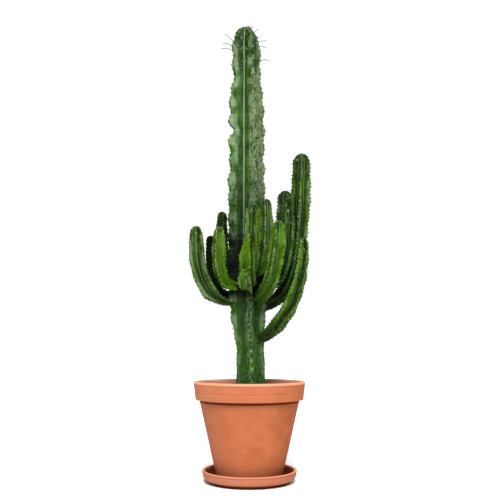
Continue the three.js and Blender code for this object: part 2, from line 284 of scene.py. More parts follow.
SAUCER_PROFILE = [
    (0, 0.0005), (0.030, 0.0005), (0.034, 0), (0.084, 0), (0.087, 0.005), (0.094, 0.0075),
    (0.0975, 0.011), (0.100, 0.0232), (0.0985, 0.0254), (0.0955, 0.0254), (0.094, 0.0234),
    (0.090, 0.0107), (0.086, 0.0077), (0, 0.0077),
]
saucer_clay = clay_finish(
    "saucer_clay",
    pale=paint(165, 99, 74),
    deep=paint(146, 81, 58),
    chalk=paint(161, 105, 84),
    right_side_shade=paint(154, 84, 57),
    lit_edge=paint(189, 129, 102),
    dirt_and_shade=paint(98, 42, 17),
    worn_lit_line=(0.0225, 0.0262),
    inside={
        "radius": 0.0866, "slope": 0.446, "floor": 0.0065, "top": 0.030, "strength": 1.0, "lime_and_light_band": 0.05,
    },
    shadow_band=(-0.002, 0.0068),
    lit_above_from=0.0068,
)
saucer_mesh = thrown("saucer_turned", rounded(SAUCER_PROFILE, corner=0.0016), saucer_clay)
new_piece("saucer_turned", saucer_mesh, "saucer_clay", "saucer")


# The pot is a thrown red-clay flowerpot with a tall collar, one turned line round it and a drain hole.
# The collar's lip is rubbed pale and carries a painted highlight along its rounded edge, and the clay is a
# warm orange with fine throwing lines.
POT_WALL = [
    (0.011, 0.013), (0.011, 0.008), (0.0675, 0.008), (0.0695, 0.010), (0.1063, 0.1655),
    (0.1063, 0.1704), (0.114, 0.170), (0.1155, 0.1715), (0.1172, 0.1846), (0.1162, 0.186),
    (0.1175, 0.1874), (0.1199, 0.2055), (0.1175, 0.2085), (0.111, 0.2085), (0.109, 0.2065),
    (0.0995, 0.170), (0.0635, 0.018), (0.011, 0.018), (0.011, 0.013),
]
pot_clay = clay_finish(
    "pot_clay",
    pale=paint(174, 100, 66),
    deep=paint(152, 80, 50),
    chalk=paint(158, 110, 92),
    right_side_shade=paint(143, 74, 31),
    lit_edge=paint(198, 124, 88),
    dirt_and_shade=paint(84, 46, 30),
    worn_lit_line=(0.2032, 0.2046),
    inside={
        "radius": 0.0621, "slope": 0.2436, "floor": 0.012, "top": 0.190, "strength": 0.7, "lime_and_light_band": 0.194,
    },
    shadow_band=(0.1645, 0.1708),
    lit_above_from=0.1705,
)
pot_mesh = thrown("pot_turned", rounded(POT_WALL, corner=0.0012), pot_clay)
new_piece("pot_turned", pot_mesh, "pot_clay", "pot")


# The soil is dark potting mix, heaped a little round the trunk, with bark, grit and pumice crumbs on top.
# It fills the pot to about 30 mm below the lip.
SOIL_OUTLINE = [
    (0, 0.0186), (0.064, 0.0186), (0.0986, 0.170), (0.0993, 0.1745), (0.070, 0.1765), (0, 0.178),
]
SOIL_LUMPS = {"level": 0.1725, "size": 0.011, "height": 0.0022}


def soil_finish():
    material, nodes = new_finish("potting_mix")
    place = nodes.add("ShaderNodeTexCoord", output=3)
    crumbs = place.grain(0.004, 5, 0.7)
    damp = place.grain(0.03, 2)
    colour = layer(paint(38, 27, 20), paint(88, 64, 46), crumbs.ramp(0.35, 0.75))
    colour = layer(colour, paint(26, 18, 13), damp.ramp(0.45, 0.65) * 0.6)
    close_finish(nodes, colour, 0.85 + damp * 0.15, crumbs, 0.0022, {"Specular IOR Level": 0.2})
    return material


def lumpy(mesh, level, size, height):
    """Raises and lowers the points above a level, by noise."""
    for vertex in mesh.vertices:
        if vertex.co.z > level:
            vertex.co.z += height * noise.fractal(vertex.co / size, 0.7, 2.0, 4)


soil_outline = rounded(SOIL_OUTLINE, corner=0.002, stretch=0.0025)
soil_mesh = thrown("soil_heaped", soil_outline, soil_finish(), turns=144)
lumpy(soil_mesh, **SOIL_LUMPS)
new_piece("soil_heaped", soil_mesh, "soil", "soil")


def on_surface(nodes, label, output="Vector"):
    """What the mesh carries under a label, read in a finish. Fac is for single numbers."""
    return nodes.add("ShaderNodeAttribute", output=output, attribute_name=label)


def crumb_finish():
    """Bark, grit and pumice: each crumb keeps one tone of its own."""
    material, nodes = new_finish("bark_and_grit")
    tone = on_surface(nodes, "tone", "Fac")
    place = nodes.add("ShaderNodeTexCoord", output=3)
    grain = place.grain(0.0015, 4, 0.7)
    stops = [
        (0.0, paint(46, 31, 22)), (0.35, paint(92, 60, 38)), (0.62, paint(128, 92, 62)),
        (0.82, paint(150, 140, 124)), (0.95, paint(214, 206, 190)),
    ]
    colour = nodes.add("ShaderNodeValToRGB", {0: tone}, stops=stops)
    colour = layer(colour, paint(30, 20, 14), grain.ramp(0.5, 0.75) * 0.6)
    close_finish(nodes, colour, 0.8 + grain * 0.2, grain, 0.0006)
    return material


def new_tree(name, sizes):
    """An empty shape tree with named inputs, and a wire for each of them."""
    tree = bpy.data.node_groups.new(name, "GeometryNodeTree")
    tree.interface.new_socket("Geometry", in_out="INPUT", socket_type="NodeSocketGeometry")
    for label, kind in sizes.items():
        tree.interface.new_socket(label, in_out="INPUT", socket_type="NodeSocket" + kind)
    tree.interface.new_socket("Geometry", in_out="OUTPUT", socket_type="NodeSocketGeometry")
    nodes = Nodes(tree)
    entry = nodes.add("NodeGroupInput").socket.node
    return nodes, {socket.name: Wire(nodes, socket) for socket in entry.outputs if socket.name}


def close_tree(nodes, shape, finish):
    """The end of each tree: instances made real, and the finish set."""
    shape = nodes.add("GeometryNodeRealizeInstances", {"Geometry": shape})
    shape = nodes.add("GeometryNodeSetMaterial", {"Geometry": shape, "Material": finish})
    nodes.add("NodeGroupOutput", {"Geometry": shape})
    return nodes.tree


def grown(name, start, tree, sizes):
    """What a tree makes from a starting mesh, as a plain mesh."""
    seed = bpy.data.objects.new(name, start)
    bpy.context.collection.objects.link(seed)
    shaping = seed.modifiers.new("shape", "NODES")
    shaping.node_group = tree
    for item in tree.interface.items_tree:
        if item.in_out == "INPUT" and item.name in sizes:
            shaping[item.identifier] = sizes[item.name]
    graph = bpy.context.evaluated_depsgraph_get()
    mesh = bpy.data.meshes.new_from_object(
        seed.evaluated_get(graph), preserve_all_data_layers=True, depsgraph=graph
    )
    seed.modifiers.remove(shaping)
    bpy.data.objects.remove(seed)
    mesh.name = name
    return mesh


def chance(nodes, low, high, seed):
    """A number drawn for each point between two ends, or a vector where the ends are tuples."""
    if isinstance(low, tuple):
        ends, output, kind = {0: low, 1: high}, 0, "FLOAT_VECTOR"
    else:
        ends, output, kind = {2: low, 3: high}, 1, "FLOAT"
    return nodes.add("FunctionNodeRandomValue", {**ends, "Seed": seed}, output, data_type=kind)


def marked(nodes, shape, label, value, kind="FLOAT", domain="POINT"):
    """The shape with a value stored on each of its points, or on each of its instances."""
    stores = {"Geometry": shape, "Name": label, "Value": value}
    return nodes.add("GeometryNodeStoreNamedAttribute", stores, data_type=kind, domain=domain)


def crumbs_tree(sizes):
    """Crumbs strewn on the upward faces of a mesh, pressed half into it."""
    nodes, given = new_tree("strewn_crumbs", sizes)
    normal = nodes.add("GeometryNodeInputNormal").axes()[2]
    height = nodes.add("GeometryNodeInputPosition").axes()[2]
    upward = normal.math("GREATER_THAN", normal, 0.6) * height.math("GREATER_THAN", height, given["Level"])
    strewing = {"Mesh": given["Geometry"], "Selection": upward, "Density": given["Density"], "Seed": 4}
    strewn = nodes.add("GeometryNodeDistributePointsOnFaces", strewing)
    ball = nodes.add("GeometryNodeMeshIcoSphere", {"Radius": 1.0, "Subdivisions": 2})
    middle = nodes.add("GeometryNodeInputPosition")
    dented = middle * (0.65 + middle.grain(0.9, 1) * 0.7)
    chip = nodes.add("GeometryNodeSetPosition", {"Geometry": ball, "Position": dented})
    size = chance(nodes, 0.0, 1.0, seed=7) ** 2.5
    size = given["Smallest"] + size * (given["Largest"] - given["Smallest"])
    squashed = chance(nodes, (0.6, 0.45, 0.25), (1.25, 0.9, 0.6), seed=9)
    turned = chance(nodes, (-0.5, -0.5, 0.0), (0.5, 0.5, 6.28), seed=11)
    placing = {"Points": strewn, "Instance": chip, "Rotation": turned, "Scale": squashed * size}
    placed = nodes.add("GeometryNodeInstanceOnPoints", placing)
    toned = marked(nodes, placed, "tone", chance(nodes, 0.0, 1.0, seed=13), domain="INSTANCE")
    return close_tree(nodes, toned, given["Finish"])


CRUMB_SIZES = {
    "Density": "Float", "Smallest": "Float", "Largest": "Float", "Level": "Float", "Finish": "Material",
}
CRUMBS = {
    "Density": 42000.0, "Smallest": 0.0009, "Largest": 0.0042, "Level": 0.1700, "Finish": crumb_finish(),
}
crumbs_mesh = grown("bark_and_grit", soil_mesh, crumbs_tree(CRUMB_SIZES), CRUMBS)
new_piece("bark_and_grit", crumbs_mesh, "soil")


# The trunk is one four-ribbed green stem: wing-like ribs with wavy, toothed edges and deep grooves.
# It stands rooted in the soil, is thickest above the arms, and narrows where the last year's growth starts.
STEM_SIZES = {
    "Across": "Vector", "Columns": "Int", "Ring step": "Float", "Tooth pitch": "Float",
    "Tooth height": "Float", "Wave height": "Float", "Wave length": "Float", "Sway": "Float",
    "Rib edge": "Float", "Dome": "Float", "Smooth foot": "Float", "Bare stretch": "Float",
    "Roughness": "Float", "Number": "Float", "Darkness": "Float", "Bloom": "Float",
    "Freshness": "Float", "Lit side": "Float", "Soot and shade": "Float", "Notch at": "Float",
    "Next notch": "Float", "Notch depth": "Float", "Notch half": "Float", "Finish": "Material",
}
RIBS = 4
FULL_TURN = 6.2832
WAVE_STEP = 2.33  # radians between the waves of neighbouring ribs
SHARP = 24.0  # how quickly a tooth dies away from its rib's edge
EDGE_ROUND = 0.09  # the share of a flank that rounds the rib's edge
FLANK_HOLLOW = 1.4  # above 1 the flanks are hollow
CROWDING = 1.7  # above 1 the columns crowd towards the rib's edge
ROOT_SPREAD = 0.004  # extra half thickness of a rib's smooth foot
TIP_GAP = 0.0004  # how far short of the tip the last ring stops
SHIFT = 3.0  # metres between the patterns of two stems


def stored(nodes, label, kind="FLOAT"):
    """What the points of a shape carry under a label."""
    return nodes.add("GeometryNodeInputNamedAttribute", {"Name": label}, data_type=kind)


def arrow(nodes, x=0.0, y=0.0, z=0.0):
    return nodes.add("ShaderNodeCombineXYZ", {0: x, 1: y, 2: z})


def stem_axis(nodes, given, distance):
    """The middle, the directions and the measures of a stem at a distance from its root."""
    path = nodes.add("GeometryNodeMeshToCurve", {"Mesh": given["Geometry"]})
    length = nodes.add("GeometryNodeCurveLength", {"Curve": path})
    distance = distance(length)
    sampled = nodes.add(
        "GeometryNodeSampleCurve",
        {"Curves": path, "Value": stored(nodes, "form", "FLOAT_VECTOR"), "Length": distance},
        data_type="FLOAT_VECTOR",
        mode="LENGTH",
    ).socket.node
    form, middle, ahead = [Wire(nodes, sampled.outputs[name]) for name in ("Value", "Position", "Tangent")]
    radius, groove, facing = form.axes()
    across = given["Across"]
    lean = ahead.vector("DOT_PRODUCT", across, ahead, output=1)
    sideways = ahead.vector("NORMALIZE", across - ahead * lean)
    away = ahead.vector("CROSS_PRODUCT", sideways, ahead)
    rise = distance.math("MAXIMUM", (distance - length + given["Dome"]) / given["Dome"], 0.0)
    shrink = distance.math("MAXIMUM", 1.0 - rise * rise, 0.0) ** 0.5
    bared = distance.ramp(given["Smooth foot"], given["Smooth foot"] + given["Bare stretch"])
    return {
        "length": length, "distance": distance, "middle": middle, "ahead": ahead,
        "sideways": sideways, "away": away, "radius": radius * shrink, "groove": groove,
        "facing": facing, "shrink": shrink, "bared": bared,
    }


def rib_measures(given, axis, rib):
    """How far a rib reaches at a ring, how thick its edge is, and how far the edge sways to one side."""
    distance, number = axis["distance"], given["Number"]
    wave = distance * FULL_TURN / given["Wave length"] + rib * WAVE_STEP
    stagger = rib.math("FLOORED_MODULO", rib, 2.0) * (FULL_TURN / 2)
    crest = (distance * FULL_TURN / given["Tooth pitch"] + stagger).cosine() * 0.5 + 0.5

    # Sums of unrelated sines keep the waves, the teeth and the sway uneven
    own = rib * 3.7 + number * 11.3
    drift = (distance * 61.0 + own).sine() + (distance * 143.0 + own * 1.7).sine() * 0.6
    swell = (wave.sine() + drift * 0.35) * given["Wave height"] * axis["bared"]
    last_rib = rib.math("GREATER_THAN", rib, RIBS - 1.5)
    for further, depth in ((0.0, 1.0), (given["Next notch"], 0.6)):
        apart = distance.math("ABSOLUTE", distance - given["Notch at"] - further)
        swell = swell - apart.ramp(given["Notch half"], 0.0) * given["Notch depth"] * depth * last_rib
    uneven = 0.8 + (distance * 211.0 + own).sine() * 0.3 + (distance * 347.0 + own * 2.3).sine() * 0.25
    tooth = (crest ** 1.5 - 0.5) * uneven * given["Tooth height"] * axis["bared"] * axis["shrink"]
    edge = axis["radius"] * given["Rib edge"] * (1.0 + crest * 0.3)
    sway = (wave * 0.93 + own).sine() * 0.7 + (distance * 88.0 + own * 2.1).sine() * 0.5
    return {
        "crest": crest,
        "swell": wave.sine() * 0.55 + drift * 0.45,
        "turn": axis["facing"] + rib * (2 * math.pi / RIBS),
        "reach": axis["radius"] * (1.0 + swell),
        "tooth": tooth,
        "edge": edge + (1.0 - axis["bared"]) * ROOT_SPREAD,
        "sway": sway * given["Sway"] * axis["radius"] * axis["bared"],
    }


def ribbed_tree():
    """A closed ribbed skin swept along a path."""
    nodes, given = new_tree("ribbed_stem", STEM_SIZES)
    x, y, level = nodes.add("GeometryNodeInputPosition").axes()
    rim = (x * x + y * y) ** 0.5
    share = level.ramp(-0.5, 0.5, "LINEAR")
    axis = stem_axis(nodes, given, lambda length: share * (length - rim * TIP_GAP))
    rings = axis["length"].math("ROUND", axis["length"] / given["Ring step"])
    column = x.math("ARCTAN2", y, x) / (2 * math.pi) * given["Columns"]
    column = column.math("FLOORED_MODULO", column.math("ROUND", column), given["Columns"])
    per_rib = given["Columns"] / float(RIBS)
    rib = column.math("FLOOR", (column + 0.25) / per_rib)
    side = (column - rib * per_rib) / (per_rib * 0.5) - 1.0
    off = side.math("ABSOLUTE", side)
    rib_is = rib_measures(given, axis, rib)
    inward = off ** CROWDING
    groove = axis["radius"] * axis["groove"] * math.cos(math.pi / RIBS)
    rounding = inward.math("MINIMUM", inward / EDGE_ROUND, 1.0)
    half = rib_is["edge"] * (rounding * (2.0 - rounding)) ** 0.5
    half = half + (groove - rib_is["edge"]) * inward ** FLANK_HOLLOW
    out = rib_is["reach"] + (groove - rib_is["reach"]) * inward + rib_is["tooth"] * (1.0 - inward) ** SHARP
    out = out * rim
    over = (half * side.math("SIGN", side) + rib_is["sway"] * (1.0 - inward) ** 2.0) * rim
    turn = rib_is["turn"]
    section_x = out * turn.cosine() - over * turn.sine()
    section_y = out * turn.sine() + over * turn.cosine()
    straight = arrow(nodes, section_x, section_y, axis["distance"] + given["Number"] * SHIFT)
    bumps = straight.grain(0.03, 3, 0.5) - 0.5
    spread = 1.0 + bumps * given["Roughness"] * axis["bared"]
    place = axis["middle"] + axis["away"] * (section_x * spread) + axis["sideways"] * (section_y * spread)
    tube = nodes.add(
        "GeometryNodeMeshCylinder",
        {"Vertices": given["Columns"], "Side Segments": rings, "Radius": 1.0, "Depth": 1.0},
        fill_type="TRIANGLE_FAN",
    )
    carried = {
        "straight": straight,
        "rib_map": arrow(nodes, off, axis["distance"] / axis["length"], rib_is["crest"]),
        "mood": arrow(nodes, given["Darkness"], given["Bloom"], given["Soot and shade"]),
        "vigour": arrow(nodes, rib_is["swell"], given["Freshness"]),
    }
    for label, value in carried.items():
        tube = marked(nodes, tube, label, value, "FLOAT_VECTOR")
    swept = nodes.add("GeometryNodeSetPosition", {"Geometry": tube, "Position": place})
    # painted light and shade: each point stores how far its normal turns to the side given by Lit side
    rightward = nodes.add("GeometryNodeInputNormal").axes()[0]
    swept = marked(nodes, swept, "sunward", rightward * given["Lit side"])
    smooth = nodes.add("GeometryNodeSetShadeSmooth", {"Geometry": swept})
    return close_tree(nodes, smooth, given["Finish"])


def skin_finish(name, flank, fresh, shade, crease, bloom, cork, aged):
    """Waxy green skin with fresh patches, pale bloom and dark dips, and corky scars where it is old.

    aged gives how old the skin is at a place on the stem, and where soot and painted shade darken it.
    """
    black = paint(7, 10, 6)
    material, nodes = new_finish(name)
    straight = on_surface(nodes, "straight")
    off, share, crest = on_surface(nodes, "rib_map").axes()
    darkness, bloomy, soot_and_shade = on_surface(nodes, "mood").axes()
    swell, freshness = on_surface(nodes, "vigour").axes()[:2]
    # painted light and shade: flanks turned to the lit side are painted fresher and lighter, the others
    # darker
    lit = on_surface(nodes, "sunward", "Fac").ramp(-0.6, 0.6) - 0.5
    patches = straight.grain(0.03, 3, 0.55, (0.7, 0.7, 2.2))
    clouds = straight.grain(0.014, 4, 0.6, (0.6, 0.6, 3.0))
    specks = straight.grain(0.0056, 3, 0.6, (0.8, 0.8, 1.4))
    lines = straight.grain(0.012, 4, 0.7, (1, 1, 0.09))
    streaks = straight.grain(0.006, 4, 0.6, (0.5, 0.5, 5.0))
    swell = swell * patches.ramp(0.3, 0.62)
    edge = off.ramp(0.34, 0.06)
    middle = off.ramp(0.02, 0.25) * off.ramp(0.85, 0.5)
    # painted shade: the grooves between the ribs are darkened
    groove_shade = off.ramp(0.5, 0.97) * (0.27 - bloomy * 0.18 - freshness * 0.1)
    foot = share.ramp(0.34, 0.16)
    tip = share.ramp(0.84, 0.98)

    # The green of a flank: fresh patches, pale bloom with a painted sheen along its middle, and painted
    # shade in its dips and grooves and on flanks turned from the light
    ripe = patches + freshness * 0.3 - swell * 0.1 + lit * 0.3 - foot * 0.12
    colour = layer(flank, fresh, ripe.ramp(0.42, 0.64))
    # pale bloom and a painted sheen: paler puffs along the middles of the flanks, most where they bulge
    bloom_and_sheen = (patches * 0.4 + clouds * 0.4 - swell * 0.12 - bloomy * 0.06).ramp(0.44, 0.27)
    grown_up = share.ramp(0.12, 0.42) * 0.8 + 0.2
    colour = layer(colour, bloom, bloom_and_sheen * (0.15 + middle * 0.85) * (0.16 + bloomy * 0.8) * grown_up)
    dim = clouds * 0.6 + specks * 0.4 - swell * 0.03 - freshness * 0.08 + groove_shade + tip * 0.13
    dim = dim - lit * 0.34 - foot * 0.06
    colour = layer(colour, shade, dim.ramp(0.44, 0.72) * 0.94)

    # Its fine marks: pale streaks, dark and pale specks, and a pale line down each groove
    streaked = 0.06 + edge * 0.16 + tip * 0.42 + bloomy * 0.1
    colour = layer(colour, bloom, streaks.ramp(0.56, 0.7) * streaked)
    dark_specks = (streaks * 0.3 + specks * 0.7).ramp(0.48, 0.38)
    colour = layer(colour, shade, dark_specks * (0.7 + tip * 0.2 + edge * 0.2))
    colour = layer(colour, crease, specks.ramp(0.57, 0.67) * (0.22 + edge * 0.48 + tip * 0.42))
    colour = layer(colour, crease, off.ramp(0.962, 0.99) * bloomy * share.ramp(0.34, 0.46))

    # Its age: cork, a rib's edge rubbed pale on the teeth and dark between them, and near-black soot and
    # painted shade
    old, sooty_shaded = aged(nodes, straight, off, share)
    scars = (lines * 0.3 + specks * 0.5 + old * 0.6).ramp(0.6, 0.76)
    bark = layer(cork, bloom, (clouds * 0.5 + specks * 0.5).ramp(0.5, 0.6) * 0.5)
    bark = layer(bark, shade, (specks * 0.6 + streaks * 0.4).ramp(0.52, 0.41) * 0.78)
    colour = layer(colour, bark, scars * 0.92)
    rubbed = off.ramp(0.13, 0.02) * (specks * 1.2 + crest * 0.1).ramp(0.62, 0.8)
    colour = layer(colour, crease, rubbed * 0.55)
    sunken = off.ramp(0.2, 0.04) * (crest * 0.4 + specks * 1.4).ramp(0.84, 0.56)
    colour = layer(colour, shade, sunken * 0.75)
    # painted shade: near black where the mask marks soot and shade among the arms, and over a whole stem by
    # its Darkness
    colour = layer(colour, black, (sooty_shaded * soot_and_shade + darkness).ramp(0.0, 1.0, "LINEAR") ** 0.7 * 0.98)

    roughness = 0.42 + clouds * 0.2 + scars * 0.3
    relief = patches * 0.8 + lines * (0.02 + scars * 0.9) + specks * 0.5 + streaks * 0.3
    close_finish(nodes, colour, roughness, relief, 0.0012, {"Specular IOR Level": 0.035})
    return material


# Each pair is a height and a measure there: the axis's X, the rib radius, the groove's share of it
TRUNK_LEAN = [
    (0.072, 0.003), (0.2, 0.003), (0.285, 0.002), (0.345, -0.003), (0.595, -0.0055), (0.84, -0.006),
    (1.015, -0.0075),
]
TRUNK_RADIUS = [
    (0.072, 0.024), (0.15, 0.031), (0.178, 0.032), (0.282, 0.0295), (0.335, 0.036), (0.39, 0.043),
    (0.6, 0.0455), (0.7, 0.0425), (0.79, 0.044), (0.85, 0.0405), (0.885, 0.0355), (0.96, 0.035),
    (1.015, 0.033),
]
TRUNK_GROOVE = [
    (0.072, 0.85), (0.15, 0.8), (0.178, 0.7), (0.282, 0.62), (0.335, 0.57), (0.39, 0.5), (0.6, 0.46),
    (0.7, 0.46), (0.85, 0.45), (0.885, 0.48), (0.96, 0.46),
]
TRUNK_FACING = {"low": math.radians(2), "high": math.radians(26), "from": 0.3, "to": 0.6}
TRUNK_POINTS = 120
TRUNK = {
    "Across": (1.0, 0.0, 0.0), "Columns": 64, "Ring step": 0.0018, "Tooth pitch": 0.0112,
    "Tooth height": 0.0021, "Wave height": 0.042, "Wave length": 0.044, "Sway": 0.055,
    "Rib edge": 0.075, "Dome": 0.05, "Smooth foot": 0.09, "Bare stretch": 0.25,
    "Roughness": 0.09, "Number": 0.0, "Darkness": 0.0, "Bloom": 0.9,
    "Freshness": 0.0, "Lit side": 0.0, "Soot and shade": 1.0, "Notch at": 0.69,
    "Next notch": 0.116, "Notch depth": 0.2, "Notch half": 0.02,
}


def path_mesh(name, points, form):
    """A line of points, each with the rib radius, the groove's share of it and the way one rib faces."""
    mesh = bpy.data.meshes.new(name)
    mesh.from_pydata(points, [(i, i + 1) for i in range(len(points) - 1)], [])
    mesh.attributes.new("form", "FLOAT_VECTOR", "POINT").data.foreach_set("vector", np.ravel(form))
    return mesh


def smoothed(rows, places, reach=0.03):
    """The rows' value at each place, averaged over a reach on both sides of it."""
    near = np.linspace(-reach, reach, 9)
    return np.interp(places[:, None] + near, *zip(*rows)).mean(axis=1)


def trunk_path():
    heights = np.linspace(TRUNK_RADIUS[0][0], TRUNK_RADIUS[-1][0], TRUNK_POINTS)
    turn = np.clip((heights - TRUNK_FACING["from"]) / (TRUNK_FACING["to"] - TRUNK_FACING["from"]), 0, 1)
    turn = turn * turn * (3 - 2 * turn)
    facing = TRUNK_FACING["low"] + (TRUNK_FACING["high"] - TRUNK_FACING["low"]) * turn
    points = [(lean, 0, height) for lean, height in zip(smoothed(TRUNK_LEAN, heights), heights)]
    form = np.stack([smoothed(TRUNK_RADIUS, heights, 0.012), smoothed(TRUNK_GROOVE, heights), facing], 1)
    return path_mesh("trunk_path", points, form)


def trunk_age(nodes, straight, off, share):
    """The flank right of the front rib is corky above the arms; among them the skin is painted nearly black
    as the shade that the arms cast.
    """
    x, y, distance = straight.axes()
    compass = y.math("ARCTAN2", y, x)
    ragged = straight.grain(0.004, 3, 0.7) + straight.grain(0.02, 2) * 0.8 - 0.9
    turned_right = (compass + ragged).ramp(0.04, 0.5) * compass.ramp(2.05, 1.95)
    tall = distance.ramp(0.5, 0.56) * distance.ramp(0.87, 0.82)
    # painted shade: a near-black band of trunk among the arms, and a dimmer band above it
    lower_end = distance + straight.grain(0.04, 2) * 0.03 + straight.grain(0.01, 3) * 0.04 - 0.035
    upper_end = distance + straight.grain(0.014, 3) * 0.22 - 0.11
    shaded = lower_end.ramp(0.285, 0.33) * upper_end.ramp(0.53, 0.4)
    dusky = distance.ramp(0.4, 0.44) * (distance + straight.grain(0.03, 2) * 0.08).ramp(0.66, 0.5) * 0.4
    old = turned_right * tall * 0.72 + share.ramp(0.3, 0.1) * 0.22
    return old, shaded.math("MAXIMUM", shaded, dusky)


trunk_skin = skin_finish(
    "trunk_skin",
    flank=paint(41, 74, 24),
    fresh=paint(51, 92, 12),
    shade=paint(17, 38, 12),
    crease=paint(132, 152, 108),
    bloom=paint(122, 146, 104),
    cork=paint(110, 121, 86),
    aged=trunk_age,
)
ribbed_stem = ribbed_tree()
trunk_mesh = grown("trunk_ribbed", trunk_path(), ribbed_stem, {**TRUNK, "Finish": trunk_skin})
new_piece("trunk_ribbed", trunk_mesh, "trunk_skin", "trunk")


# Each tooth of a rib carries a small horny shield with a pair of short spines that spread sideways.
# The shields are tan flecked with dark brown, and the spines darken towards their points.
AREOLE_SIZES = {"Shield": "Float", "Spine": "Float", "Bare foot": "Float"}
BEYOND_TIP = 10.0  # past the tip of any stem
BARE_TIP = 0.003  # no tooth grows this close to the tip
SUNK = 0.0002  # how deep a shield sits in its tooth


def horn_finish():
    material, nodes = new_finish("horn")
    point = on_surface(nodes, "point", "Fac")
    place = nodes.add("ShaderNodeTexCoord", output=3)
    speckle = place.grain(0.004, 3, 0.6)
    shield = layer(paint(116, 112, 68), paint(40, 34, 20), speckle.ramp(0.4, 0.55))
    colour = layer(shield, paint(34, 28, 18), point.ramp(0.05, 0.4))
    close_finish(nodes, colour, 0.5 + speckle * 0.2, speckle, 0.0003)
    return material


def tooth_points(nodes, given, first, last):
    """A point on each tooth between two distances from the root, with its turn and size stored on it."""
    index = nodes.add("GeometryNodeInputIndex")
    tooth = index.math("FLOOR", (index + 0.25) / float(RIBS))
    rib = index - tooth * float(RIBS)
    stagger = rib.math("FLOORED_MODULO", rib, 2.0) * 0.5
    axis = stem_axis(nodes, given, lambda length: (tooth + 1.0 - stagger) * given["Tooth pitch"])
    rib_is = rib_measures(given, axis, rib)
    turn = rib_is["turn"]
    outwards = axis["away"] * turn.cosine() + axis["sideways"] * turn.sine()
    aside = axis["sideways"] * turn.cosine() - axis["away"] * turn.sine()
    reach = rib_is["reach"] + rib_is["tooth"] - SUNK
    steep = axis["ahead"] * (1.0 - axis["shrink"]) + outwards * axis["shrink"]
    turned = nodes.add(
        "FunctionNodeAxesToRotation", {0: steep, 1: aside}, primary_axis="Z", secondary_axis="X"
    )
    count = (axis["length"] - BARE_TIP) / given["Tooth pitch"] * float(RIBS)
    points = nodes.add("GeometryNodePoints", {"Count": count})
    place = axis["middle"] + outwards * reach + aside * rib_is["sway"]
    points = marked(nodes, points, "place", place, "FLOAT_VECTOR")
    points = marked(nodes, points, "size", axis["shrink"] ** 0.5 * (0.5 + axis["bared"] * 0.5))
    points = marked(nodes, points, "distance", axis["distance"])
    points = marked(nodes, points, "turned", turned, "QUATERNION")
    moved = {"Geometry": points, "Position": stored(nodes, "place", "FLOAT_VECTOR")}
    points = nodes.add("GeometryNodeSetPosition", moved)
    distance = stored(nodes, "distance")
    outside = distance.math("LESS_THAN", distance, first) + distance.math("GREATER_THAN", distance, last)
    return nodes.add("GeometryNodeDeleteGeometry", {"Geometry": points, "Selection": outside})


def areoles_tree():
    """Shields and spine pairs on the teeth of every rib."""
    nodes, given = new_tree("areoles", {**STEM_SIZES, **AREOLE_SIZES})
    points = tooth_points(nodes, given, given["Bare foot"], BEYOND_TIP)
    shield = nodes.add("GeometryNodeMeshIcoSphere", {"Radius": given["Shield"], "Subdivisions": 2})
    flat = arrow(nodes, 1.0, 1.25, 0.45)
    parts = [nodes.add("GeometryNodeTransform", {"Geometry": shield, "Scale": flat})]
    long = given["Spine"]
    cone = {
        "Vertices": 5, "Side Segments": 2, "Depth": long,
        "Radius Top": long * 0.01, "Radius Bottom": long * 0.12,
    }
    for way in (-1, 1):
        spine = nodes.add("GeometryNodeMeshCone", cone)
        spine = marked(nodes, spine, "point", nodes.add("GeometryNodeInputPosition").axes()[2] / long)
        tilt = (0.12, way * 0.62, 0.0)
        parts.append(nodes.add("GeometryNodeTransform", {"Geometry": spine, "Rotation": tilt}))
    areole = nodes.add("GeometryNodeJoinGeometry", {"Geometry": parts})
    vary = chance(nodes, 0.35, 1.35, seed=21)
    placing = {
        "Points": points, "Instance": areole, "Rotation": stored(nodes, "turned", "QUATERNION"),
        "Scale": arrow(nodes, vary, vary, vary) * stored(nodes, "size"),
    }
    placed = nodes.add("GeometryNodeInstanceOnPoints", placing)
    smooth = nodes.add("GeometryNodeSetShadeSmooth", {"Geometry": placed})
    return close_tree(nodes, smooth, given["Finish"])


horn = horn_finish()
areoles = areoles_tree()
TRUNK_AREOLES = {"Shield": 0.0009, "Spine": 0.0036, "Bare foot": 0.135, "Finish": horn}
spines_mesh = grown("trunk_spines", trunk_path(), areoles, {**TRUNK, **TRUNK_AREOLES})
new_piece("trunk_spines", spines_mesh, "trunk_skin")


# The youngest teeth near the trunk's tip still hold their leaves, each a dry brown thread that stands out
# and droops. They are some 25 mm long and a millimetre thick, and they drop off lower down.
THREAD_SIZES = {
    "Thread": "Float", "Thickness": "Float", "First": "Float", "Last": "Float", "Kept": "Float",
}


def thread_finish():
    material, nodes = new_finish("dry_leaf")
    place = nodes.add("ShaderNodeTexCoord", output=3)
    tone = place.grain(0.006, 2)
    colour = layer(paint(40, 34, 24), paint(86, 76, 56), tone.ramp(0.35, 0.65))
    close_finish(nodes, colour, 0.6 + tone * 0.2, tone, 0.0001)
    return material


